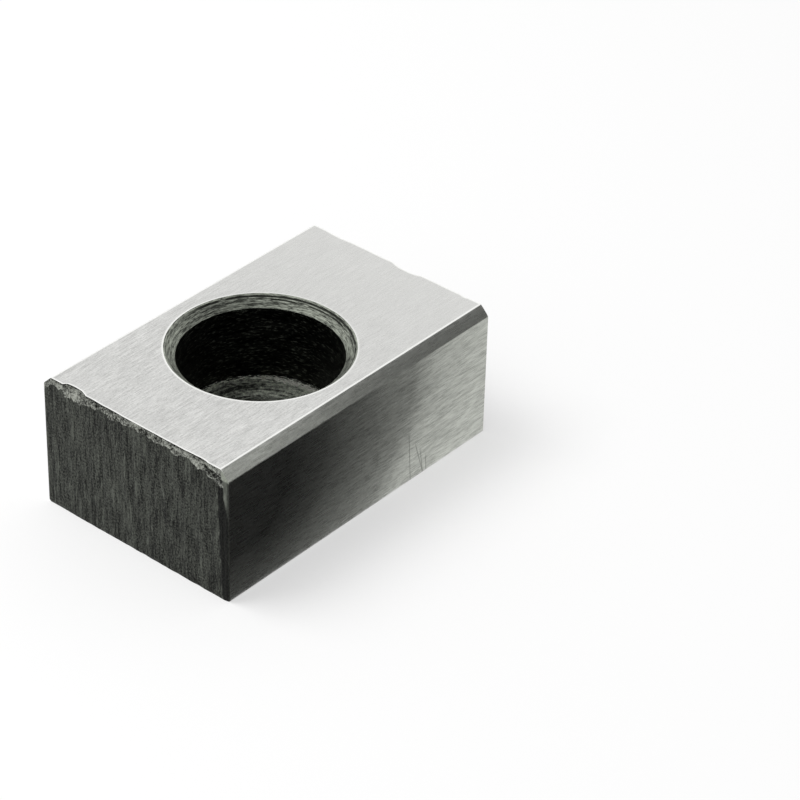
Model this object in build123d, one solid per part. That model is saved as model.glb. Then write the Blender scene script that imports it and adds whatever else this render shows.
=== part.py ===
from build123d import *
from math import sqrt
import os

# A slot nut: one block of ground bar, counterbored and tapped M6, with both ends left as sawn.
# Millimetres. The origin is the middle of the base, X runs along the length, Y across the slot
# and Z up, towards the open side of the counterbore.

# Block
width = 16.0
length = 25.0
height = 10.0
long_edge_chamfer = 0.7
base_edge_break = 0.15

# Counterbore for the head of an M6 cap screw
recess_diameter = 11.0
recess_depth = 6.0
recess_bevel = 0.7
bore_from_middle = -0.9

# M6 thread, as its core bore, with a lead-in bevel at both ends
thread_core_diameter = 5.0
thread_bevel = 0.3

# The saw left broken edges on each end, along its top and down its sides: they lie far over the
# end face and reach only a little inwards over the ground faces
broken_edge_reach = 0.1
broken_edge_drop = 0.55

# Chips out of the top one, as (place across the top from -1 to 1, half width, reach, drop)
near_end_chips = [
    (-0.96, 1.10, 0.22, 1.05),
    (-0.74, 1.20, 0.20, 1.00),
    (-0.50, 1.05, 0.15, 0.85),
    (-0.26, 1.00, 0.14, 0.75),
    (0.00, 1.10, 0.13, 0.70),
    (0.28, 1.10, 0.16, 0.85),
    (0.51, 1.10, 0.18, 0.95),
    (0.74, 1.25, 0.30, 1.15),
]
far_end_chips = [
    (-0.92, 1.10, 0.22, 0.95),
    (-0.62, 1.05, 0.15, 0.80),
    (-0.38, 1.00, 0.14, 0.75),
    (-0.14, 1.30, 0.28, 1.10),
    (0.20, 1.05, 0.16, 0.85),
    (0.44, 0.95, 0.14, 0.75),
    (0.68, 1.20, 0.20, 0.95),
    (0.95, 1.05, 0.18, 0.90),
]


def ground_bar():
    """The bar's section, with chamfered top corners and dulled base corners, run to length."""
    section = Rectangle(width, height, align=(Align.CENTER, Align.MIN))
    section = chamfer(section.vertices().group_by(Axis.Y)[-1], long_edge_chamfer)
    section = chamfer(section.vertices().group_by(Axis.Y)[0], base_edge_break)
    return extrude(Plane.YZ * section, length / 2, both=True)


def bevelled_bore(radius, top, bottom, bevel, bevel_bottom=False):
    """A straight bore from bottom up to top, flaring by a 45 degree bevel at its mouth."""
    bore = Pos(0, 0, bottom) * Cylinder(
        radius, top - bottom, align=(Align.CENTER, Align.CENTER, Align.MIN)
    )
    flare = Cone(radius, radius + bevel, bevel, align=(Align.CENTER, Align.CENTER, Align.MAX))
    bore += Pos(0, 0, top) * flare
    if bevel_bottom:
        bore += Pos(0, 0, bottom) * Rot(180, 0, 0) * flare
    return bore


def screw_hole():
    """Counterbore over the tapped hole, both on the same axis."""
    recess_floor = height - recess_depth
    recess = bevelled_bore(recess_diameter / 2, height, recess_floor, recess_bevel)
    thread_core = bevelled_bore(
        thread_core_diameter / 2, recess_floor, 0, thread_bevel, bevel_bottom=True
    )
    return Pos(bore_from_middle, 0, 0) * (recess + thread_core)


def break_end_edges(block, end):
    """Bevel the end at X = end * length / 2 all round but at its base, mostly over the end face."""
    end_face = block.faces().sort_by(Axis.X)[-1 if end > 0 else 0]
    edges = end_face.edges().filter_by(lambda edge: edge.center().Z > base_edge_break)
    return chamfer(edges, broken_edge_drop, broken_edge_reach, reference=end_face)


def chip(end, place, half_width, reach, drop):
    """A shallow scoop out of an end's top edge, as a ball that meets the edge at both sides of
    the chip, the top face at its reach and the end face at its drop."""
    outwards = (half_width**2 - reach**2) / (2 * reach)
    upwards = (half_width**2 - drop**2) / (2 * drop)
    radius = sqrt(half_width**2 + outwards**2 + upwards**2)
    across = place * (width / 2 - long_edge_chamfer)
    return Pos(end * (length / 2 + outwards), across, height + upwards) * Sphere(radius)


def slot_nut():
    """The finished nut."""
    block = ground_bar()
    for end, chips in ((-1, near_end_chips), (1, far_end_chips)):
        block = break_end_edges(block, end)
        for place, half_width, reach, drop in chips:
            block -= chip(end, place, half_width, reach, drop)
    return block - screw_hole()


os.makedirs("parts", exist_ok=True)
export_step(slot_nut(), "parts/slot_nut.step")
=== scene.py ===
import math

import bmesh
import bpy
import numpy as np
from mathutils import Matrix, Vector


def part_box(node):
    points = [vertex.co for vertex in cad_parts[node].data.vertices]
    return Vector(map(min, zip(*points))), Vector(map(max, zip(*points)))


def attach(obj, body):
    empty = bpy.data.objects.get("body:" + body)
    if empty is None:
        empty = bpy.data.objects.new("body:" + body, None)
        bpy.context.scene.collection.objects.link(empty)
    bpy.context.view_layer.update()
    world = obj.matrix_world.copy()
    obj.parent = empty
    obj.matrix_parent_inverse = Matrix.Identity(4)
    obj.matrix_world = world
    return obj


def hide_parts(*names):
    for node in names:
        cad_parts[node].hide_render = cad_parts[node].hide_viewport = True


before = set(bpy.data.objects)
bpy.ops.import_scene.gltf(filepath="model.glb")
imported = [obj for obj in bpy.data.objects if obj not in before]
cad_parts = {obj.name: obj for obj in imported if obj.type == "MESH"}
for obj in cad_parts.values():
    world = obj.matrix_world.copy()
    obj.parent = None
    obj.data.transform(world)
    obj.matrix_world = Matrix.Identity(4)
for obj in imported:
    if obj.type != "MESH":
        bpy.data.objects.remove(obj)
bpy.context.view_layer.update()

# A slot nut: ground bar, counterbored and tapped M6, with sawn and chipped ends.
# Shapes are worked out in millimetres in the frame's own axes, and made in metres.
MM = 0.001
NODE = "slot_nut"
low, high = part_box(NODE)
LENGTH = (high.x - low.x) / MM
WIDTH = (high.y - low.y) / MM
HEIGHT = (high.z - low.z) / MM

# Block
LONG_EDGE_CHAMFER = 0.7
CHAMFER_WAVER = 0.07
BASE_EDGE_BREAK = 0.15
EDGE_SOFTENING = 0.05
HALF_LENGTH = LENGTH / 2
HALF_WIDTH = WIDTH / 2
TOP_HALF_WIDTH = HALF_WIDTH - LONG_EDGE_CHAMFER
SHOULDER = HEIGHT - LONG_EDGE_CHAMFER

# Counterbore and thread
BORE_FROM_MIDDLE = -0.9
RECESS_RADIUS = 5.5
RECESS_DEPTH = 6.0
RECESS_BEVEL = 0.7
THREAD_CORE_RADIUS = 2.5
THREAD_ROOT_RADIUS = 3.0
THREAD_PITCH = 1.0
THREAD_BEVEL = 0.3
RECESS_FLOOR = HEIGHT - RECESS_DEPTH
RECESS_MOUTH = RECESS_RADIUS + RECESS_BEVEL
BEVEL_FOOT = HEIGHT - RECESS_BEVEL

# Grooves at the far side of the mouth's bevel, as (height, half width, how far round they start
# from -1 to 1, how broken they are from 0 to 1), how deep they are and how gently they start
BEVEL_GROOVES = [(9.86, 0.06, -0.15, 0.36), (9.72, 0.04, 0.45, 0.50)]
GROOVE_DEPTH = 0.05
GROOVE_FADE = 0.3

# Broken edges of the sawn ends: how far they lie over the end, how much a thin lip of the end
# stands out past that, and the reaches between which chips break through the top's thin lip
BROKEN_EDGE_DROP = 0.55
END_LIP = 0.13
TOP_LIP = (0.10, 0.32)

# Near the corners of a sawn end, as the places from its middle outwards between which something
# sets in: the torn edge stops reaching over the top, and by the dulled side the torn patch
# reaches further down and takes painted light above a crease of painted shade
LIP_STOPS = (6.05, 6.3)
PATCH_DEEPENS = (5.6, 6.2)
PATCH_EXTRA_DROP = 0.45
PATCH_PAINTED_LIGHT = (5.4, 6.2)

# Down the dulled side's edge: the heights between which its worn part takes a painted highlight
# and then a brighter painted glint at the corner, and the height up to which its dull part reaches
EDGE_HIGHLIGHT_RISES = (6.2, 8.0)
CORNER_GLINT = (9.1, 9.3)
DULL_TOP = 8.65

# How deep the saw marks of the ends are
SAW_MARK_DEPTH = 0.05

# Chips, as (place across the top from -1 to 1, half width, reach, drop)
NEAR_END_CHIPS = [
    (-0.96, 1.10, 0.22, 1.05),
    (-0.74, 1.20, 0.20, 1.00),
    (-0.50, 1.05, 0.15, 0.85),
    (-0.26, 1.00, 0.14, 0.75),
    (0.00, 1.10, 0.13, 0.70),
    (0.28, 1.10, 0.16, 0.85),
    (0.51, 1.10, 0.18, 0.95),
    (0.74, 1.25, 0.30, 1.15),
]
FAR_END_CHIPS = [
    (-0.92, 1.10, 0.22, 0.95),
    (-0.62, 1.05, 0.15, 0.80),
    (-0.38, 1.00, 0.14, 0.75),
    (-0.14, 1.30, 0.28, 1.10),
    (0.20, 1.05, 0.16, 0.85),
    (0.44, 0.95, 0.14, 0.75),
    (0.68, 1.20, 0.20, 0.95),
    (0.95, 1.05, 0.18, 0.90),
]

# Scratches on the near side, as (foot, lean, height up to which it reaches)
SCRATCHES = [(4.91, -0.07, 4.2), (6.19, -0.31, 3.0), (6.17, -0.16, 2.3), (6.50, -0.06, 1.6)]

# Camera, at the photograph's place: metres, degrees and millimetres of lens
CAMERA_PLACE = (-0.12646, -0.11553, 0.12431)
CAMERA_AIM = (0.01161, -0.00139, 0.0)
CAMERA_ROLL = 1.614
CAMERA_LENS = 143.84

# What the near side and its chamfer reflect, as (place along the length, strength), and the
# height up to which the side's tones lean
SIDE_TONES = [
    (-16, 0.015),
    (-11, 0.012),
    (-7.5, 0.036),
    (-3, 0.118),
    (1, 0.23),
    (2.6, 0.385),
    (4.3, 0.49),
    (8.5, 0.57),
]
CHAMFER_TONES = [(-14, 0.46), (-10, 0.38), (-3, 0.25), (3, 0.16), (14, 0.13)]
LEAN_TOP = 6.3
CARD_TINT = (1.0, 1.03, 0.967, 1.0)

# Edges at least this sharp, in degrees, stay sharp in the shading
SHARP_FROM = 18

# What is stored on the mesh's points, from 0 to 1
BROKEN = "broken"
# The facet tone holds painted light and painted shade of the torn metal
FACET_LIGHT_AND_SHADE = "facet"
# The worn edge's brightness is a painted highlight
WORN_EDGE_HIGHLIGHT = "worn"
DULLED = "dulled"
# The glint is a painted highlight along the top's edge by the ends
GLINT = "glint"


def smooth_step(values, start, stop):
    """0 before start, 1 past stop, and an even S between them."""
    t = np.clip((values - start) / (stop - start), 0, 1)
    return t * t * (3 - 2 * t)


def spaced(start, stop, step):
    """Evenly spaced values from start towards stop, without the last, about a step apart."""
    count = max(1, round(abs(stop - start) / step))
    return np.linspace(start, stop, count, endpoint=False)


class ValueNoise:
    """Smooth noise from -1 to 1 over a plane, from a seeded table of random heights."""

    def __init__(self, seed, size=64):
        self.size = size
        self.table = np.random.default_rng(seed).uniform(-1, 1, (size, size))

    def __call__(self, x, y):
        x, y = np.broadcast_arrays(np.asarray(x, float), np.asarray(y, float))
        column, row = np.floor(x).astype(int), np.floor(y).astype(int)
        across, along = x - column, y - row
        across = across * across * (3 - 2 * across)
        along = along * along * (3 - 2 * along)
        corner = [
            self.table[(row + j) % self.size, (column + i) % self.size]
            for j in (0, 1)
            for i in (0, 1)
        ]
        near = corner[0] * (1 - across) + corner[1] * across
        far = corner[2] * (1 - across) + corner[3] * across
        return near * (1 - along) + far * along


class SawnEnd:
    """One end of the bar: how deep its surface lies inside a flat end, at each point of it. The
    top edge is torn, and the edge on the dulled side (-1 or 1) is worn smooth."""

    def __init__(self, seed, chips, dulled_side):
        self.chips = chips
        self.dulled_side = dulled_side
        self.noise = [ValueNoise(seed + k) for k in range(8)]
        self.scatter_facets(np.random.default_rng(seed + 100))

    def scatter_facets(self, random, width=0.42, height=0.2, rows=9):
        """Scatters the small tilted planes that the torn metal shows."""
        jitter, steepest, deepest = 0.45, 0.30, 0.03
        columns = round(WIDTH / width) + 1
        count = columns * rows
        across, down = np.meshgrid(np.arange(columns), np.arange(rows))
        self.facet_size = np.array([width, height])
        self.facet_places = np.stack([across, down], -1).reshape(-1, 2).astype(float)
        self.facet_places += random.uniform(-jitter, jitter, (count, 2))
        self.facet_places -= (HALF_WIDTH / width, 0)
        self.facet_slopes = random.uniform(-steepest, steepest, (count, 2))
        self.facet_depths = random.uniform(-deepest, deepest, count)
        self.facet_tones = random.uniform(0.1, 1.0, count)

    def facets(self, across, down):
        """The depth and the tone of the facet at each point, deeper in the crevices and darker
        there by painted shade.
        """
        jog_across = self.noise[6](across * 3, down * 3)
        jog_down = self.noise[6](down * 4, across * 4)
        point = np.stack([across, down], -1) / self.facet_size
        point = point + 0.5 * np.stack([jog_across, jog_down], -1)
        gap = np.sqrt(((point[..., None, :] - self.facet_places) ** 2).sum(-1))
        order = np.argpartition(gap, 1, axis=-1)
        nearest, second = order[..., 0], order[..., 1]
        gaps = [np.take_along_axis(gap, k[..., None], -1)[..., 0] for k in (nearest, second)]
        crevice = 1 - smooth_step(gaps[1] - gaps[0], 0.05, 0.30)
        offset = (point - self.facet_places[nearest]) * self.facet_size
        depth = self.facet_depths[nearest] + (offset * self.facet_slopes[nearest]).sum(-1)
        # Painted shade darkens the crevices
        return depth + 0.02 * crevice, self.facet_tones[nearest] * (1 - 0.6 * crevice)

    def torn_edge(self, across):
        """How far the torn edge reaches in over the top, and how far down it lies on the end."""
        reach = np.zeros(across.shape)
        drop = np.full(across.shape, BROKEN_EDGE_DROP)
        for place, half_width, chip_reach, chip_drop in self.chips:
            middle = place * TOP_HALF_WIDTH
            share = np.maximum(0, 1 - ((across - middle) / half_width) ** 2)
            reach = np.maximum(reach, chip_reach * smooth_step(chip_reach, *TOP_LIP) * share)
            drop = np.maximum(drop, (chip_drop - END_LIP) * np.sqrt(share))
        off_corners = 1 - smooth_step(np.abs(across), *LIP_STOPS)
        reach = reach * off_corners * (1 + 0.25 * self.noise[0](across * 2.1, 3.5)) + 0.012
        drop = drop + PATCH_EXTRA_DROP * smooth_step(self.dulled_side * across, *PATCH_DEEPENS)
        wander = 0.11 * self.noise[0](across * 1.3, 9.5) + 0.09 * self.noise[1](across * 4.1, 7.5)
        return reach, drop * (1 + wander)

    def torn(self, across, down):
        """The torn edge's depth, its share of the surface and its tone, which holds painted light
        and shade, at each point. t runs from 0 at the top to 1 where the torn edge ends."""
        reach, drop = self.torn_edge(across)
        t = down / drop
        grain = self.noise[2](across * 9, down * 9)
        fray = 0.16 * self.noise[7](across * 3.3, down * 3.3) + 0.10 * grain
        share = smooth_step(1 - t + fray * smooth_step(t, 0.3, 0.8), -0.08, 0.22)
        corner = smooth_step(np.abs(across), HALF_WIDTH - 1.3, HALF_WIDTH - 0.8)
        facet_depth, facet_tone = self.facets(across, down)
        overhang = smooth_step(t, 0, 0.32) * (1 - smooth_step(t, 0.32, 1.0))
        scoop = 0.11 + 0.06 * self.noise[3](across * 0.9, 5.5)
        depth = reach * np.maximum(0, 1 - t) + scoop * overhang
        depth = depth + (facet_depth + 0.03 * grain) * smooth_step(t, 0.02, 0.15)
        depth = depth * (1 - 0.9 * corner)
        return depth, share, self.torn_light_and_shade(across, down, t, corner) * (0.4 + 0.6 * facet_tone)

    def torn_light_and_shade(self, across, down, t, corner):
        """The torn metal's tone but for its facets: painted shade under the top's lip and painted
        light below it, uneven in patches, by the dulled side painted light down to a crease of
        painted shade, and darker by the corner on the other side."""
        by_dulled_side = smooth_step(self.dulled_side * across, *PATCH_PAINTED_LIGHT)
        lit = smooth_step(t + 0.2 * self.noise[4](across * 1.7, 2.5) + 0.3 * corner, 0.10, 0.34)
        lit = np.maximum(lit, 0.9 * by_dulled_side * (1 - smooth_step(t, 0.34, 0.44)))
        patch = 0.7 + 0.3 * self.noise[6](across * 1.3, down * 3.1)
        # A crease of painted shade
        crease_shade = by_dulled_side * (1 - smooth_step(np.abs(t - 0.60), 0.10, 0.22))
        tone = (0.1 + 0.9 * lit) * patch * (1 - 0.8 * crease_shade)
        return tone * (1 - 0.35 * corner * (1 - by_dulled_side))

    def side_widths(self, up):
        """How far over the end the worn part of the dulled side's edge lies, and its dull part."""
        worn = 0.08 + 0.38 * smooth_step(up, 6.0, 8.2) + 0.15 * smooth_step(up, 9.1, 9.35)
        worn = worn + 0.05 * self.noise[1](up * 2.9, 11.5)
        dull = 0.60 + 0.042 * up
        dull = dull + 0.07 * self.noise[5](up * 1.7, 4.5) + 0.05 * self.noise[0](up * 5, 21.5)
        return worn, dull

    def side_edges(self, across, up):
        """The depth of the edges down both sides of the end, and how worn and how dull they are.
        The worn value is a painted highlight along the worn edge, growing up it to a painted glint
        at the top corner.
        """
        inwards = HALF_WIDTH - self.dulled_side * across
        from_other_side = HALF_WIDTH + self.dulled_side * across
        worn_width, dull_width = self.side_widths(up)
        at_edge = 1 - smooth_step(inwards, worn_width - 0.03, worn_width + 0.03)
        ragged = 0.9 + 0.5 * self.noise[3](across * 6, up * 2.1)
        # shine and brightness are a painted highlight, up to a painted glint at the top corner
        shine = smooth_step(inwards, 0.07, 0.24) * smooth_step(up, *EDGE_HIGHLIGHT_RISES) * ragged
        brightness = np.maximum(0.05 + 0.22 * shine, 0.6 * smooth_step(up, *CORNER_GLINT))
        dull = 1 - smooth_step(inwards, dull_width - 0.04, dull_width + 0.04)
        dull = np.where(up < DULL_TOP, dull, at_edge)
        flecks = smooth_step(self.noise[2](across * 3, up * 2.3), 0.1, 0.6)
        border = 1 - smooth_step(np.abs(inwards - dull_width - 0.05), 0.03, 0.09)
        worn = np.maximum(at_edge * brightness, 0.12 * border * flecks)
        depth = 0.03 * (1 - inwards / dull_width)
        depth = np.maximum(depth, 0.03 + 0.02 * (1 - inwards / worn_width))
        depth = np.maximum(depth, 0.16 * (1 - (inwards + up) / 0.6))
        depth = np.maximum(depth, 0.04 * (1 - from_other_side / 0.2))
        return depth, worn, dull

    def surface(self, across, up, top):
        """What the end is like at each point (across, up) whose top edge is at the height top: its
        depth, and the values that are stored on the mesh's points."""
        torn_depth, share, tone = self.torn(across, top - up)
        side_depth, worn, dull = self.side_edges(across, up)
        sway = 0.25 * self.noise[4](across * 0.8, up * 0.7)
        saw = 0.5 + 0.3 * self.noise[3](across * 2.3 + sway, up * 0.22)
        saw += 0.2 * self.noise[5](across * 6.1, up * 0.6)
        base_break = 0.04 + 0.04 * self.noise[1](across * 1.7, 17.5) - up
        depth = share * torn_depth + (1 - share) * SAW_MARK_DEPTH * saw
        depth = np.maximum.reduce([depth, side_depth, base_break, np.zeros(up.shape)])
        return depth, {BROKEN: share * (1 - dull), FACET_LIGHT_AND_SHADE: tone, WORN_EDGE_HIGHLIGHT: worn, DULLED: dull}


def top_outline():
    """The section's upper outline from one side to the other, as (across, up) points."""
    soft, slope = EDGE_SOFTENING, EDGE_SOFTENING / math.sqrt(2)
    coarse, on_chamfer, on_flat = 1.0, 0.08, 0.075
    right_half = [
        (TOP_HALF_WIDTH - soft, HEIGHT, coarse),
        (TOP_HALF_WIDTH + slope, HEIGHT - slope, on_chamfer),
        (HALF_WIDTH - slope, SHOULDER + slope, coarse),
        (HALF_WIDTH, SHOULDER - soft, coarse),
    ]
    left_half = [(-y, z) for y, z, _ in reversed(right_half)]
    steps = [coarse, on_chamfer, coarse, on_flat] + [step for _, _, step in right_half[:-1]]
    corners = np.array(left_half + [(y, z) for y, z, _ in right_half])
    points = []
    for start, stop, step in zip(corners, corners[1:], steps):
        share = spaced(0, 1, step / np.hypot(*(stop - start)))
        points += [start + (stop - start) * s for s in share]
    return np.array(points + [corners[-1]])


def section_grid():
    """The bar's section as a grid of points, finest along its top: how far across and up each
    point is, and how high the section's top is above it."""
    across, top = top_outline().T
    base = np.maximum(0, BASE_EDGE_BREAK - (HALF_WIDTH - np.abs(across)))
    fine_depth, fine_step, low_row_count = 1.7, 0.06, 67
    fine = np.concatenate([[0, 0.03], spaced(0.07, fine_depth, fine_step), [fine_depth]])
    share = np.linspace(0, 1, low_row_count + 1)[1:]
    fine_rows = top - fine[:, None]
    low_rows = (top - fine_depth) * (1 - share[:, None]) + base * share[:, None]
    up = np.vstack([fine_rows, low_rows])
    return np.broadcast_to(across, up.shape), up, np.broadcast_to(top, up.shape)


def round_the_grid(rows, columns):
    """The index of each grid point once round the grid's edge."""
    index = np.arange(rows * columns).reshape(rows, columns)
    return np.concatenate([index[0, :-1], index[:-1, -1], index[-1, :0:-1], index[:0:-1, 0]])


def quads_of_grid(rows, columns, first=0):
    """The faces of a grid of points whose first point has the index first."""
    index = first + np.arange(rows * columns).reshape(rows, columns)
    corners = [index[:-1, :-1], index[1:, :-1], index[1:, 1:], index[:-1, 1:]]
    return np.stack(corners, -1).reshape(-1, 4)


def quads_between(ring, following):
    """The faces between two rings of as many points."""
    return np.stack([ring, np.roll(ring, -1), np.roll(following, -1), following], -1)


def make_solid(name, points, faces, materials, kinds):
    """A closed mesh object from points in millimetres. kinds gives each face's material."""
    mesh = bpy.data.meshes.new(name)
    mesh.from_pydata((np.asarray(points) * MM).tolist(), [], [[int(i) for i in f] for f in faces])
    for material in materials:
        mesh.materials.append(material)
    mesh.polygons.foreach_set("material_index", np.asarray(kinds, dtype=np.int32))
    work = bmesh.new()
    work.from_mesh(mesh)
    bmesh.ops.recalc_face_normals(work, faces=work.faces)
    work.to_mesh(mesh)
    work.free()
    made = bpy.data.objects.new(name, mesh)
    bpy.context.collection.objects.link(made)
    return made


def waver_chamfer(across, up, along, noise):
    """The height of points of the section once the chamfers' lower edges waver a little along
    the bar, as hand grinding leaves them, and run true again at its ends."""
    spread = 1.5
    above = (HEIGHT - up) / LONG_EDGE_CHAMFER
    below = 1 - (SHOULDER - up) / spread
    share = np.clip(np.minimum(above, below), 0, 1) * (np.abs(across) > TOP_HALF_WIDTH)
    calm = smooth_step(HALF_LENGTH - abs(along), 0.3, 1.5)
    return up - CHAMFER_WAVER * calm * share * noise(along * 0.45, np.sign(across) * 2.5)


def make_bar(ends, ground, sawn):
    """The bar with its two sawn ends, before the hole is cut."""
    ground_kind, sawn_kind = 0, 1
    insets, middle_inset, middle_count = (0.06, 0.15), 0.7, 24
    across, up, top = section_grid()
    rows, columns = up.shape
    edge = round_the_grid(rows, columns)
    edge_across, edge_up = across.ravel()[edge], up.ravel()[edge]
    points, faces, rings = [], [], []

    def add_ring(along, height=edge_up):
        ring = len(points) + np.arange(len(edge))
        along = np.broadcast_to(along, height.shape)
        points.extend(np.stack([along, edge_across, height], -1).tolist())
        return ring

    for side, end in zip((-1, 1), ends):
        first = len(points)
        depth, _ = end.surface(across, up, top)
        points += np.stack([side * (HALF_LENGTH - depth), across, up], -1).reshape(-1, 3).tolist()
        faces += quads_of_grid(rows, columns, first).tolist()
        edge_depth = depth.ravel()[edge]
        near = [first + edge]
        near += [add_ring(side * (HALF_LENGTH - edge_depth - inset)) for inset in insets]
        if side < 0:
            rings += near
            noise = ValueNoise(71)
            middle_end = HALF_LENGTH - middle_inset
            for along in np.linspace(-middle_end, middle_end, middle_count):
                rings.append(add_ring(along, waver_chamfer(edge_across, edge_up, along, noise)))
        else:
            rings += near[::-1]
    kinds = [sawn_kind] * len(faces)
    for ring, following in zip(rings, rings[1:]):
        faces += quads_between(ring, following).tolist()
    kinds += [ground_kind] * (len(faces) - len(kinds))
    return make_solid("bar", points, faces, [ground, sawn], kinds)


def make_turned(name, profile, around, materials, uneven=None):
    """A solid turned about the bore's axis. profile holds (radius, height, material of the wall up
    to the next point) and starts and ends on the axis; uneven(angles, height) is added to the
    radius."""
    angles = np.linspace(0, 2 * math.pi, around, endpoint=False)
    points = [(BORE_FROM_MIDDLE, 0, profile[0][1])]
    for radius, height, _ in profile[1:-1]:
        reach = radius + (uneven(angles, height) if uneven else 0)
        x, y = BORE_FROM_MIDDLE + reach * np.cos(angles), reach * np.sin(angles)
        points += np.stack([x, y, np.full(around, height)], -1).tolist()
    points.append((BORE_FROM_MIDDLE, 0, profile[-1][1]))
    rings = [1 + around * k + np.arange(around) for k in range(len(profile) - 2)]
    faces = [(0, i, j) for i, j in zip(rings[0], np.roll(rings[0], -1))]
    kinds = [profile[0][2]] * around
    for ring, following, (_, _, kind) in zip(rings, rings[1:], profile[1:]):
        faces += quads_between(ring, following).tolist()
        kinds += [kind] * around
    faces += [(len(points) - 1, i, j) for i, j in zip(rings[-1], np.roll(rings[-1], -1))]
    kinds += [profile[-2][2]] * around
    return make_solid(name, points, faces, materials, kinds)


def recess_profile(bevel, wall, floor):
    """The counterbore from the thread's lead-in up to above the block. bevel, wall and floor are
    the numbers of their materials."""
    soft, spare = EDGE_SOFTENING, 0.1
    lead_in_end = RECESS_FLOOR - THREAD_BEVEL - spare
    profile = [(0, lead_in_end, wall), (THREAD_CORE_RADIUS - spare, lead_in_end, wall)]
    for radius in spaced(THREAD_CORE_RADIUS + THREAD_BEVEL, RECESS_RADIUS, 0.3):
        profile.append((radius, RECESS_FLOOR, floor))
    for height in spaced(RECESS_FLOOR, BEVEL_FOOT, 0.25):
        profile.append((RECESS_RADIUS, height, wall))
    for rise in spaced(0, RECESS_BEVEL - soft, 0.035):
        profile.append((RECESS_RADIUS + rise, BEVEL_FOOT + rise, bevel))
    return profile + [
        (RECESS_MOUTH - soft, HEIGHT - soft, bevel),
        (RECESS_MOUTH + 2 * soft, HEIGHT + soft / 2, bevel),
        (RECESS_MOUTH + 2 * soft, HEIGHT + 1, bevel),
        (0, HEIGHT + 1, bevel),
    ]


def make_recess(materials):
    """The counterbore as a solid, whose mouth's bevel is turned unevenly and grooved."""
    ripple = ValueNoise(5)

    def chatter(angles, height):
        """How much further out the bevel lies, none of it on the wall or above the top face."""
        x, y = np.cos(angles), np.sin(angles)
        wave = ripple(2.2 * x + 17 * height, 2.2 * y + 11 * height)
        notch = ripple(14 * x + 23 * height, 14 * y + 19 * height)
        depth = 0.012 * wave + 0.014 * notch
        for level, half_width, fade_in, _ in BEVEL_GROOVES:
            far_side = smooth_step(x, fade_in, fade_in + GROOVE_FADE)
            depth += GROOVE_DEPTH * far_side * np.exp(-(((height - level) / half_width) ** 2))
        on_bevel = smooth_step(height, BEVEL_FOOT, BEVEL_FOOT + 0.1)
        return on_bevel * (height < HEIGHT - EDGE_SOFTENING) * depth

    profile = recess_profile(bevel=0, wall=1, floor=2)
    return make_turned("recess", profile, 160, materials, uneven=chatter)


def base_bevel_profile(thread):
    """The bevel that ends the thread at the base, whose material has the number thread."""
    mouth, spare = THREAD_CORE_RADIUS + THREAD_BEVEL, 0.1
    return [
        (0, -1, thread),
        (mouth, -1, thread),
        (mouth, 0, thread),
        (THREAD_CORE_RADIUS - spare, THREAD_BEVEL + spare, thread),
        (0, THREAD_BEVEL + spare, thread),
    ]


def make_thread_rod(material, around=96, rows_per_turn=16):
    """The thread's turns as a rod, to be cut out of the floor under the counterbore. It reaches
    past both faces, and its ends close in tips on the axis."""
    start, stop = -1.5, RECESS_FLOOR + 1.0
    low_tip, high_tip = start - 1, stop + 2.5
    rows = math.ceil((stop - start) / THREAD_PITCH) * rows_per_turn + 1
    row, step = np.meshgrid(np.arange(rows), np.arange(around), indexing="ij")
    flank = 1 - np.abs(2 * (row % rows_per_turn) / rows_per_turn - 1)
    crest_flat, root_flat = 0.125, 0.125
    rise = np.clip((flank - crest_flat) / (1 - crest_flat - root_flat), 0, 1)
    radius = THREAD_CORE_RADIUS + (THREAD_ROOT_RADIUS - THREAD_CORE_RADIUS) * rise
    angle = 2 * math.pi * step / around
    height = start + THREAD_PITCH * (row / rows_per_turn + step / around)
    x, y = BORE_FROM_MIDDLE + radius * np.cos(angle), radius * np.sin(angle)
    points = np.stack([x, y, height], -1).reshape(-1, 3).tolist()
    index = np.arange(rows * around).reshape(rows, around)
    faces = quads_of_grid(rows, around).tolist()
    seam_from, seam_to = index[:-rows_per_turn, -1], index[rows_per_turn:, 0]
    faces += np.stack([seam_from[:-1], seam_to[:-1], seam_to[1:], seam_from[1:]], -1).tolist()
    low_edge = [*index[0], *index[rows_per_turn:0:-1, 0]]
    high_edge = [*index[-1], *index[-2 : -2 - rows_per_turn : -1, -1]]
    for edge, tip in ((low_edge, low_tip), (high_edge, high_tip)):
        faces += [(a, b, len(points)) for a, b in zip(edge, edge[1:] + edge[:1])]
        points.append((BORE_FROM_MIDDLE, 0, tip))
    return make_solid("thread_rod", points, faces, [material], [0] * len(faces))


def cut(body, cutter):
    """Takes the cutter out of the body and keeps the result as the body's mesh."""
    modifier = body.modifiers.new("cut", "BOOLEAN")
    modifier.operation = "DIFFERENCE"
    modifier.solver = "EXACT"
    modifier.material_mode = "TRANSFER"
    modifier.object = cutter
    view_of_all = bpy.context.evaluated_depsgraph_get()
    result = bpy.data.meshes.new_from_object(body.evaluated_get(view_of_all))
    body.modifiers.clear()
    body.data = result
    bpy.data.objects.remove(cutter)


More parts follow.
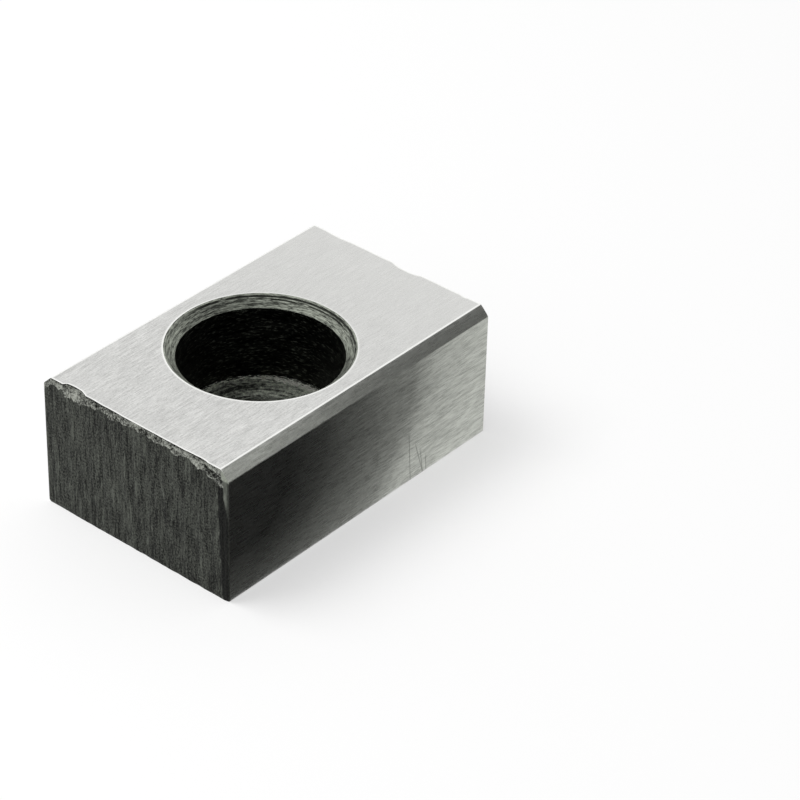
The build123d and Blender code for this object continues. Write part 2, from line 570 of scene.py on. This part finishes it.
def paint_ends(nut, ends):
    """Stores on each point near the ends what its surface is like there."""
    end_zone, on_end_depth = 1.0, 0.03
    glint_depths, glint_tops = (0.05, 0.14), (HEIGHT - 0.25, HEIGHT - 0.05)
    mesh = nut.data
    place = np.empty(len(mesh.vertices) * 3)
    mesh.vertices.foreach_get("co", place)
    along, across, up = (place.reshape(-1, 3) / MM).T
    top = np.minimum(HEIGHT, SHOULDER + HALF_WIDTH - np.abs(across))
    values = {name: np.zeros(len(along)) for name in (BROKEN, FACET_LIGHT_AND_SHADE, WORN_EDGE_HIGHLIGHT, DULLED, GLINT)}
    for side, end in zip((-1, 1), ends):
        here = np.flatnonzero(side * along > HALF_LENGTH - end_zone)
        depth, stored = end.surface(across[here], up[here], top[here])
        inside = HALF_LENGTH - side * along[here] - depth
        on_end = inside < on_end_depth
        for name, numbers in stored.items():
            values[name][here] = np.where(on_end, numbers, 0)
        # A painted glint along the top's edge by the ends
        on_top = smooth_step(top[here], *glint_tops)
        values[GLINT][here] = (1 - smooth_step(inside, *glint_depths)) * on_top
    for name, numbers in values.items():
        mesh.attributes.new(name, "FLOAT", "POINT").data.foreach_set("value", numbers)


class Nodes:
    """A node tree, built up one node at a time."""

    def __init__(self, tree):
        self.tree = tree

    def add(self, kind, inputs=None, **settings):
        """Adds a node. inputs maps its sockets to values or to other nodes' outputs."""
        node = self.tree.nodes.new(kind)
        for name, value in settings.items():
            setattr(node, name, value)
        for socket, value in (inputs or {}).items():
            self.set(node, socket, value)
        return node

    def set(self, node, socket, value):
        """Links an output to a node's socket, or gives the socket a plain value."""
        if isinstance(value, bpy.types.NodeSocket):
            self.tree.links.new(value, node.inputs[socket])
        else:
            node.inputs[socket].default_value = value

    def math(self, operation, a, b=0.0):
        """The result of a named operation on one or two numbers."""
        return self.add("ShaderNodeMath", {0: a, 1: b}, operation=operation).outputs[0]

    def total(self, *terms):
        """The sum of (value, weight) pairs."""
        weighted = [self.math("MULTIPLY", value, weight) for value, weight in terms]
        result = weighted[0]
        for value in weighted[1:]:
            result = self.math("ADD", result, value)
        return result

    def centred(self, *terms):
        """The sum of (noise, weight) pairs, moved so that its middle is 0."""
        middle = 0.5
        return self.total(*terms, (middle, -sum(weight for _, weight in terms)))

    def between(self, value, from_low, from_high, to_low=0.0, to_high=1.0):
        """Maps a range of values evenly onto another, and holds it there."""
        inputs = {0: value, 1: from_low, 2: from_high, 3: to_low, 4: to_high}
        return self.add("ShaderNodeMapRange", inputs).outputs[0]

    def mix(self, share, a, b):
        """A colour between a and b."""
        colour_a, colour_b, colour_out = 6, 7, 2
        inputs = {0: share, colour_a: a, colour_b: b}
        return self.add("ShaderNodeMix", inputs, data_type="RGBA").outputs[colour_out]

    def split(self, vector):
        """A vector's X, Y and Z."""
        return self.add("ShaderNodeSeparateXYZ", {0: vector}).outputs

    def place(self, scale=(1, 1, 1), turn=0.0):
        """Places on the object in millimetres, turned about Z, times a scale along each axis."""
        coordinates = self.add("ShaderNodeTexCoord").outputs["Object"]
        stretch = tuple(s / MM for s in scale)
        inputs = {0: coordinates, "Rotation": (0, 0, turn), "Scale": stretch}
        return self.add("ShaderNodeMapping", inputs).outputs[0]

    def from_axis(self):
        """The direction from the bore's axis as X and Y, the distance from it and the height."""
        coordinates = self.add("ShaderNodeTexCoord").outputs["Object"]
        inputs = {0: coordinates, "Location": (-BORE_FROM_MIDDLE, 0, 0), "Scale": (1 / MM,) * 3}
        x, y, z = self.split(self.add("ShaderNodeMapping", inputs).outputs[0])
        squares = self.math("ADD", self.math("MULTIPLY", x, x), self.math("MULTIPLY", y, y))
        distance = self.math("SQRT", squares)
        return self.math("DIVIDE", x, distance), self.math("DIVIDE", y, distance), distance, z

    def round_place(self, along_turn, across_turn):
        """Places that run round the bore's axis, times a scale along and across the turn."""
        turn_x, turn_y, distance, height = self.from_axis()
        level = self.math("MULTIPLY", self.math("ADD", distance, height), across_turn)
        turned = [self.math("MULTIPLY", value, along_turn) for value in (turn_x, turn_y)]
        return self.add("ShaderNodeCombineXYZ", {0: turned[0], 1: turned[1], 2: level}).outputs[0]

    def noise(self, place, detail=2.0, roughness=0.5, distortion=0.0):
        """Noise from 0 to 1, with cells one unit of place across."""
        inputs = {"Vector": place, "Scale": 1.0, "Detail": detail, "Roughness": roughness}
        inputs["Distortion"] = distortion
        return self.add("ShaderNodeTexNoise", inputs).outputs["Fac"]

    def stored(self, name):
        """A value stored on the mesh's points."""
        return self.add("ShaderNodeAttribute", attribute_name=name).outputs["Fac"]

    def bump(self, height, distance):
        """A bump whose height of 1 stands for a distance in millimetres."""
        inputs = {"Height": height, "Distance": distance * MM}
        return self.add("ShaderNodeBump", inputs).outputs["Normal"]


class Metal(Nodes):
    """A metal's material."""

    def __init__(self, name):
        self.material = bpy.data.materials.new(name)
        self.material.use_nodes = True
        super().__init__(self.material.node_tree)

    def finish(self, colour, roughness, normal):
        """Connects the surface and returns the material."""
        surface = self.tree.nodes["Principled BSDF"]
        inputs = {"Base Color": colour, "Roughness": roughness, "Normal": normal, "Metallic": 1.0}
        for socket, value in inputs.items():
            self.set(surface, socket, value)
        return self.material


def grey(value):
    """A neutral, slightly warm grey, as the bright steel has."""
    return (value, value * 1.002, value * 0.977, 1.0)


def olive(value):
    """A grey with a trace of green, as the dark steel has."""
    return (value, value * 1.065, value * 0.915, 1.0)


def warm(value):
    """A grey with a trace of yellow, as the torn steel has."""
    return (value, value * 1.03, value * 0.93, 1.0)


def ground_steel():
    """Ground faces: light steel with fine grain and short strokes along the length, lighter towards
    the far end by painted light. On the top both fade towards the far end, and on the sides the
    grain is coarser at the near end and the strokes grow towards the far one. The edges of the top
    carry a painted highlight, and a few scratches cross the near side."""
    metal = Metal("ground_steel")
    strokes = metal.noise(metal.place((0.5, 4.2, 4.2), 0.03), detail=3, roughness=0.7)
    fine = metal.noise(metal.place((1.2, 9, 9), -0.03), detail=1)
    grain = metal.noise(metal.place((7, 9, 9)), detail=1)
    clouds = metal.noise(metal.place((0.3, 0.5, 0.5)), detail=3)
    brushed = metal.centred((strokes, 0.34), (fine, 0.30))
    grainy = metal.centred((grain, 0.26), (clouds, 0.10))
    x, y, _ = metal.split(metal.place())
    on_side = metal.between(metal.math("ABSOLUTE", y), HALF_WIDTH - 0.06, HALF_WIDTH - 0.01)
    fade = metal.between(x, -6, 8, 1.0, 0.45)
    growth = metal.math("MULTIPLY", on_side, metal.between(x, -7, 5, -0.35, 1.5))
    brushed = metal.math("MULTIPLY", brushed, metal.math("ADD", fade, growth))
    coarseness = metal.total((fade, 1.0), (metal.math("MULTIPLY", on_side, fade), 0.9))
    tone = metal.math("ADD", brushed, metal.math("MULTIPLY", grainy, coarseness))
    colour = metal.mix(metal.between(tone, -0.2, 0.2), grey(0.42), grey(0.88))
    # Painted light: lighter towards the far end
    colour = metal.mix(metal.between(x, 0, 12, 0.0, 0.25), colour, grey(0.76))
    marks = metal.noise(metal.place((0.8, 6.5, 6.5), 0.05))
    dark_marks = metal.between(marks, 0.20, 0.27, 0.5, 0.0)
    colour = metal.mix(dark_marks, colour, grey(0.36))
    colour = metal.mix(scratches(metal), colour, grey(0.25))
    # Painted highlight along the edges of the top
    colour = metal.mix(painted_edge_highlights(metal), colour, grey(0.98))
    roughness = metal.between(fine, 0.3, 0.7, 0.25, 0.36)
    return metal.finish(colour, roughness, metal.bump(tone, 0.008))


def painted_edge_highlights(metal):
    """A painted highlight, 1 along the edges where the top meets the bore, the chamfers and the
    ends.
    """
    turn_x, _, distance, _ = metal.from_axis()
    rim = metal.between(distance, RECESS_MOUTH + 0.10, RECESS_MOUTH + 0.20, 1.0, 0.0)
    rim = metal.math("MULTIPLY", rim, metal.between(turn_x, -0.1, 0.6, 1.0, 0.45))
    _, y, z = metal.split(metal.place())
    off_edge = metal.math("SUBTRACT", metal.math("ABSOLUTE", y), TOP_HALF_WIDTH - 0.03)
    long_edge = metal.between(metal.math("ABSOLUTE", off_edge), 0.03, 0.07, 1.0, 0.0)
    on_top = metal.between(z, HEIGHT - 0.08, HEIGHT - 0.05)
    flat_edges = metal.math("MULTIPLY", metal.math("MAXIMUM", rim, long_edge), on_top)
    return metal.math("MAXIMUM", flat_edges, metal.stored(GLINT))


def scratches(metal):
    """1 along the scratches of the near side."""
    x, y, z = metal.split(metal.place())
    near_side = metal.between(y, -HALF_WIDTH + 0.05, -HALF_WIDTH + 0.1, 1.0, 0.0)
    marks = 0.0
    for foot, lean, reach_up in SCRATCHES:
        line = metal.total((x, 1.0), (z, -lean))
        off_line = metal.math("ABSOLUTE", metal.math("SUBTRACT", line, foot))
        mark = metal.between(off_line, 0.01, 0.05, 0.9, 0.0)
        mark = metal.math("MULTIPLY", mark, metal.between(z, reach_up - 0.5, reach_up, 1.0, 0.0))
        marks = metal.math("MAXIMUM", mark, marks)
    return metal.math("MULTIPLY", marks, near_side)


def sawn_steel():
    """Sawn ends: dark, with uneven dark and light lines down their height, and grainy and light
    where torn, with painted light and shade there, and a painted highlight along the worn edge."""
    metal = Metal("sawn_steel")
    streaks = metal.noise(metal.place((1, 2.8, 0.38)), detail=3, roughness=0.65, distortion=0.5)
    lines = metal.noise(metal.place((1, 6.5, 0.7)), detail=2, roughness=0.6, distortion=0.4)
    bands = metal.noise(metal.place((1, 0.8, 0.2)), detail=2)
    mottle = metal.noise(metal.place((5, 5, 3)), detail=2, roughness=0.7)
    grain = metal.noise(metal.place((8.5, 8.5, 7)), detail=2, roughness=0.7)
    tone = metal.total((streaks, 0.15), (lines, 0.25), (bands, 0.06), (mottle, 0.04), (grain, 0.50))
    colour = metal.mix(metal.between(tone, 0.43, 0.60), olive(0.003), olive(0.110))
    crack = metal.between(lines, 0.29, 0.36, 0.85, 0.0)
    colour = metal.mix(crack, colour, olive(0.004))
    ridge = metal.between(lines, 0.66, 0.72, 0.0, 0.7)
    colour = metal.mix(ridge, colour, olive(0.14))
    speck = metal.between(grain, 0.70, 0.78, 0.0, 0.8)
    colour = metal.mix(speck, colour, olive(0.26))
    chips = metal.noise(metal.place((8, 8, 8)), detail=2, roughness=0.7)
    # The stored facet tone brings painted light and shade onto the torn metal
    facet = metal.total((metal.stored(FACET_LIGHT_AND_SHADE), 1.0), (chips, 2.2))
    torn = metal.mix(metal.between(facet, 1.20, 1.95), olive(0.010), warm(0.46))
    broken = metal.total((metal.stored(BROKEN), 1.0), (chips, 1.2))
    colour = metal.mix(metal.between(broken, 1.0, 1.2), colour, torn)
    dull = metal.mix(metal.between(grain, 0.42, 0.66), olive(0.0), olive(0.024))
    colour = metal.mix(metal.stored(DULLED), colour, dull)
    # Painted highlight along the worn edge
    worn = metal.mix(metal.between(grain, 0.30, 0.70), olive(0.44), olive(0.68))
    colour = metal.mix(metal.stored(WORN_EDGE_HIGHLIGHT), colour, worn)
    roughness = metal.between(grain, 0.3, 0.7, 0.48, 0.6)
    normal = metal.bump(metal.total((tone, 0.7), (chips, 0.3)), 0.08)
    return metal.finish(colour, roughness, normal)


def bevel_steel():
    """The bevel round the bore's mouth: mottled grey, with painted shade that makes it a little
    darker at the back and shifts its tone by bearing round the bore, with broken grooves at its far
    side."""
    metal = Metal("turned_bevel")
    rings = metal.noise(metal.round_place(1.2, 4.5), detail=3, roughness=0.65)
    mottle = metal.noise(metal.round_place(10, 10), detail=2, roughness=0.75)
    turn_x, turn_y, _, height = metal.from_axis()
    # Painted shade, darkest at the back, and a tone shift by bearing
    painted_shade_back = metal.between(metal.total((turn_x, 0.42), (turn_y, 0.91)), 0.5, 1.0, 0.01, -0.03)
    tone = metal.total((rings, 0.30), (mottle, 0.70), (turn_x, -0.01), (painted_shade_back, 1.0))
    colour = metal.mix(metal.between(tone, 0.40, 0.61), olive(0.06), olive(0.50))
    breaks = metal.noise(metal.round_place(3, 1), detail=2)
    for groove, half_width, fade_in, least in BEVEL_GROOVES:
        off_groove = metal.math("ABSOLUTE", metal.math("SUBTRACT", height, groove))
        mark = metal.between(off_groove, half_width / 2, half_width, 0.95, 0.0)
        far_side = metal.between(turn_x, fade_in, fade_in + GROOVE_FADE)
        unbroken = metal.between(breaks, least, least + 0.06)
        mark = metal.math("MULTIPLY", mark, metal.math("MULTIPLY", far_side, unbroken))
        colour = metal.mix(mark, colour, olive(0.02))
    roughness = metal.between(mottle, 0.3, 0.7, 0.36, 0.5)
    return metal.finish(colour, roughness, metal.bump(tone, 0.03))


def floor_steel():
    """The counterbore's floor: broken arcs round the axis, lighter on one side by painted light,
    with flecks of painted highlight along its ragged border, which is dark right by the wall by
    painted shade."""
    metal = Metal("bore_floor")
    arcs = metal.noise(metal.round_place(0.8, 2.8), detail=3, roughness=0.7)
    mottle = metal.noise(metal.round_place(14, 4.5), detail=3, roughness=0.75)
    turn_x, turn_y, distance, _ = metal.from_axis()
    # Painted light: lighter on one side
    painted_light_side = metal.between(metal.math("SUBTRACT", turn_x, turn_y), -0.6, 0.8, -0.03, 0.06)
    rim = metal.between(distance, THREAD_ROOT_RADIUS, RECESS_RADIUS, -0.07, 0.07)
    jags = metal.noise(metal.round_place(16, 9), detail=2, roughness=0.6)
    ragged = metal.math("ADD", distance, metal.centred((jags, 1.6)))
    by_wall = metal.between(ragged, RECESS_RADIUS - 0.55, RECESS_RADIUS - 0.40, 0.0, 0.22)
    # Flecks of painted highlight by the wall
    flecks = metal.math("MULTIPLY", by_wall, metal.between(turn_x, 0.62, 0.90, 0.35, 1.0))
    tone = metal.total((arcs, 0.5), (mottle, 0.5), (rim, 0.8), (painted_light_side, 1.0), (flecks, 1.0))
    colour = metal.mix(metal.between(tone, 0.42, 0.64), olive(0.05), olive(1.0))
    # Painted shade right by the wall
    border = metal.between(ragged, RECESS_RADIUS - 0.22, RECESS_RADIUS - 0.12, 0.0, 0.9)
    colour = metal.mix(border, colour, olive(0.01))
    roughness = metal.between(mottle, 0.3, 0.7, 0.45, 0.6)
    return metal.finish(colour, roughness, metal.bump(tone, 0.10))


def painted_shade_steel(name, dark, light, speck):
    """Turned surfaces deep in the bore, dark by painted shade: mottled, with fine bright specks."""
    metal = Metal(name)
    mottle = metal.noise(metal.round_place(2.6, 2.2), detail=4, roughness=0.7)
    specks = metal.noise(metal.round_place(14, 8), detail=2, roughness=0.6)
    colour = metal.mix(metal.between(mottle, 0.40, 0.66), olive(dark), olive(light))
    in_light_part = metal.between(mottle, 0.30, 0.56)
    bright = metal.math("MULTIPLY", metal.between(specks, 0.54, 0.74), in_light_part)
    colour = metal.mix(bright, colour, olive(speck))
    roughness = metal.between(specks, 0.3, 0.7, 0.48, 0.64)
    return metal.finish(colour, roughness, metal.bump(mottle, 0.04))


def make_nut():
    """The nut, with each kind of surface in its own material."""
    # The bore's wall and thread are dark by painted shade
    wall = painted_shade_steel("painted_shade_bore_wall", dark=0.0, light=0.016, speck=0.15)
    thread = painted_shade_steel("painted_shade_thread", dark=0.020, light=0.090, speck=0.30)
    near_end = SawnEnd(seed=11, chips=NEAR_END_CHIPS, dulled_side=-1)
    far_end = SawnEnd(seed=47, chips=FAR_END_CHIPS, dulled_side=1)
    ends = (near_end, far_end)
    nut = make_bar(ends, ground_steel(), sawn_steel())
    cut(nut, make_recess([bevel_steel(), wall, floor_steel()]))
    cut(nut, make_thread_rod(thread))
    cut(nut, make_turned("base_bevel", base_bevel_profile(thread=0), 96, [thread]))
    paint_ends(nut, ends)
    nut.data.shade_smooth()
    nut.data.set_sharp_from_angle(angle=math.radians(SHARP_FROM))
    nut.name = "slot_nut_body"
    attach(nut, "root")
    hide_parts(NODE)


def make_sheet(name, corners, material):
    """A flat piece of the stage from its four corners in metres."""
    mesh = bpy.data.meshes.new(name)
    mesh.from_pydata(corners, [], [(0, 1, 2, 3)])
    mesh.materials.append(material)
    sheet = bpy.data.objects.new(name, mesh)
    bpy.context.collection.objects.link(sheet)
    return sheet


def seen_directly(nodes):
    """1 where a camera, glossy or transmission ray looks, and 0 for the rest of the light."""
    rays = nodes.add("ShaderNodeLightPath").outputs
    either = nodes.math("MAXIMUM", rays["Is Camera Ray"], rays["Is Glossy Ray"])
    return nodes.math("MAXIMUM", either, rays["Is Transmission Ray"])


def make_floor():
    """A plain pale floor that keeps the nut's shadow."""
    material = bpy.data.materials.new("pale_floor")
    material.use_nodes = True
    nodes = Nodes(material.node_tree)
    nodes.tree.nodes.clear()
    pale = (0.5, 0.5, 0.5, 1)
    diffuse = nodes.add("ShaderNodeBsdfDiffuse", {"Color": pale})
    glow = nodes.add("ShaderNodeEmission", {"Color": pale, "Strength": seen_directly(nodes)})
    both = nodes.add("ShaderNodeAddShader", {0: diffuse.outputs[0], 1: glow.outputs[0]})
    nodes.add("ShaderNodeOutputMaterial", {"Surface": both.outputs[0]})
    half = 3.0
    corners = [(-half, -half, 0), (half, -half, 0), (half, half, 0), (-half, half, 0)]
    make_sheet("floor", corners, material)


def make_card(name, bottom, top, tones, lean=0.0, foot_light=0.0):
    """A card beside the near side, seen in reflections only, which grades what that side
    reflects. tones holds (place along the length, strength), lean shifts them along with the
    height up to LEAN_TOP, and foot_light brightens the card towards its foot."""
    gap, overhang, foot_height = 0.15, 2.5, 3.6
    material = bpy.data.materials.new(name)
    material.use_nodes = True
    nodes = Nodes(material.node_tree)
    nodes.tree.nodes.clear()
    x, _, z = nodes.split(nodes.place())
    along = nodes.math("ADD", x, nodes.between(z, 0, LEAN_TOP, 0, -lean * LEAN_TOP))
    left, right = tones[0][0], tones[-1][0]
    ramp = nodes.add("ShaderNodeValToRGB", {0: nodes.between(along, left, right)})
    for _ in tones[2:]:
        ramp.color_ramp.elements.new(0.5)
    for element, (where, value) in zip(ramp.color_ramp.elements, tones):
        element.position = (where - left) / (right - left)
        element.color = (value, value, value, 1)
    foot = nodes.between(z, bottom, bottom + foot_height, foot_light, 0.0)
    strength = nodes.math("ADD", ramp.outputs["Color"], foot)
    glow = nodes.add("ShaderNodeEmission", {"Color": CARD_TINT, "Strength": strength})
    nodes.add("ShaderNodeOutputMaterial", {"Surface": glow.outputs[0]})
    y, end = -HALF_WIDTH - gap, HALF_LENGTH + overhang
    corners = [(-end, y, bottom), (end, y, bottom), (end, y, top), (-end, y, top)]
    card = make_sheet(name, [tuple(c * MM for c in corner) for corner in corners], material)
    card.visible_camera = False
    card.visible_diffuse = False
    card.visible_transmission = False
    card.visible_shadow = False


def make_world():
    """White where it is seen, with a plain even light on the object. Reflections find it darker
    towards the front."""
    front_strength, lighting_strength = 0.36, 0.55
    world = bpy.data.worlds.new("studio")
    bpy.context.scene.world = world
    world.use_nodes = True
    nodes = Nodes(world.node_tree)
    direction = nodes.add("ShaderNodeTexCoord").outputs["Generated"]
    towards_back = nodes.split(direction)[1]
    reflected = nodes.between(towards_back, -0.6, -0.05, front_strength, 1.0)
    rays = nodes.add("ShaderNodeLightPath").outputs
    plain = nodes.between(seen_directly(nodes), 0, 1, lighting_strength, 1.0)
    inputs = {0: rays["Is Glossy Ray"], 2: plain, 3: reflected}
    strength = nodes.add("ShaderNodeMix", inputs).outputs[0]
    background = nodes.tree.nodes["Background"]
    nodes.set(background, "Color", (1, 1, 1, 1))
    nodes.set(background, "Strength", strength)


def make_lamp(name, place, size, power):
    """A soft square lamp in metres and watts, aimed at the nut."""
    light = bpy.data.lights.new(name, "AREA")
    light.size = size
    light.energy = power
    lamp = bpy.data.objects.new(name, light)
    bpy.context.collection.objects.link(lamp)
    lamp.visible_glossy = False
    lamp.location = place
    lamp.rotation_euler = (-Vector(place)).to_track_quat("-Z", "Y").to_euler()


def make_camera():
    """The photograph's camera."""
    data = bpy.data.cameras.new("camera")
    data.lens = CAMERA_LENS
    data.clip_start = 0.01
    camera = bpy.data.objects.new("camera", data)
    bpy.context.collection.objects.link(camera)
    gaze = Vector(CAMERA_AIM) - Vector(CAMERA_PLACE)
    facing = gaze.to_track_quat("-Z", "Y").to_matrix().to_4x4()
    roll = Matrix.Rotation(math.radians(CAMERA_ROLL), 4, "Z")
    camera.matrix_world = Matrix.Translation(CAMERA_PLACE) @ facing @ roll
    bpy.context.scene.camera = camera


make_nut()
make_floor()
make_card("side_card", 0.0, SHOULDER, SIDE_TONES, lean=0.65, foot_light=0.05)
make_card("chamfer_card", SHOULDER, HEIGHT + 1.0, CHAMFER_TONES)
make_world()
make_lamp("key", place=(-0.12, 0.16, 0.36), size=0.25, power=1.0)
make_camera()
bpy.context.scene.view_settings.view_transform = "Standard"
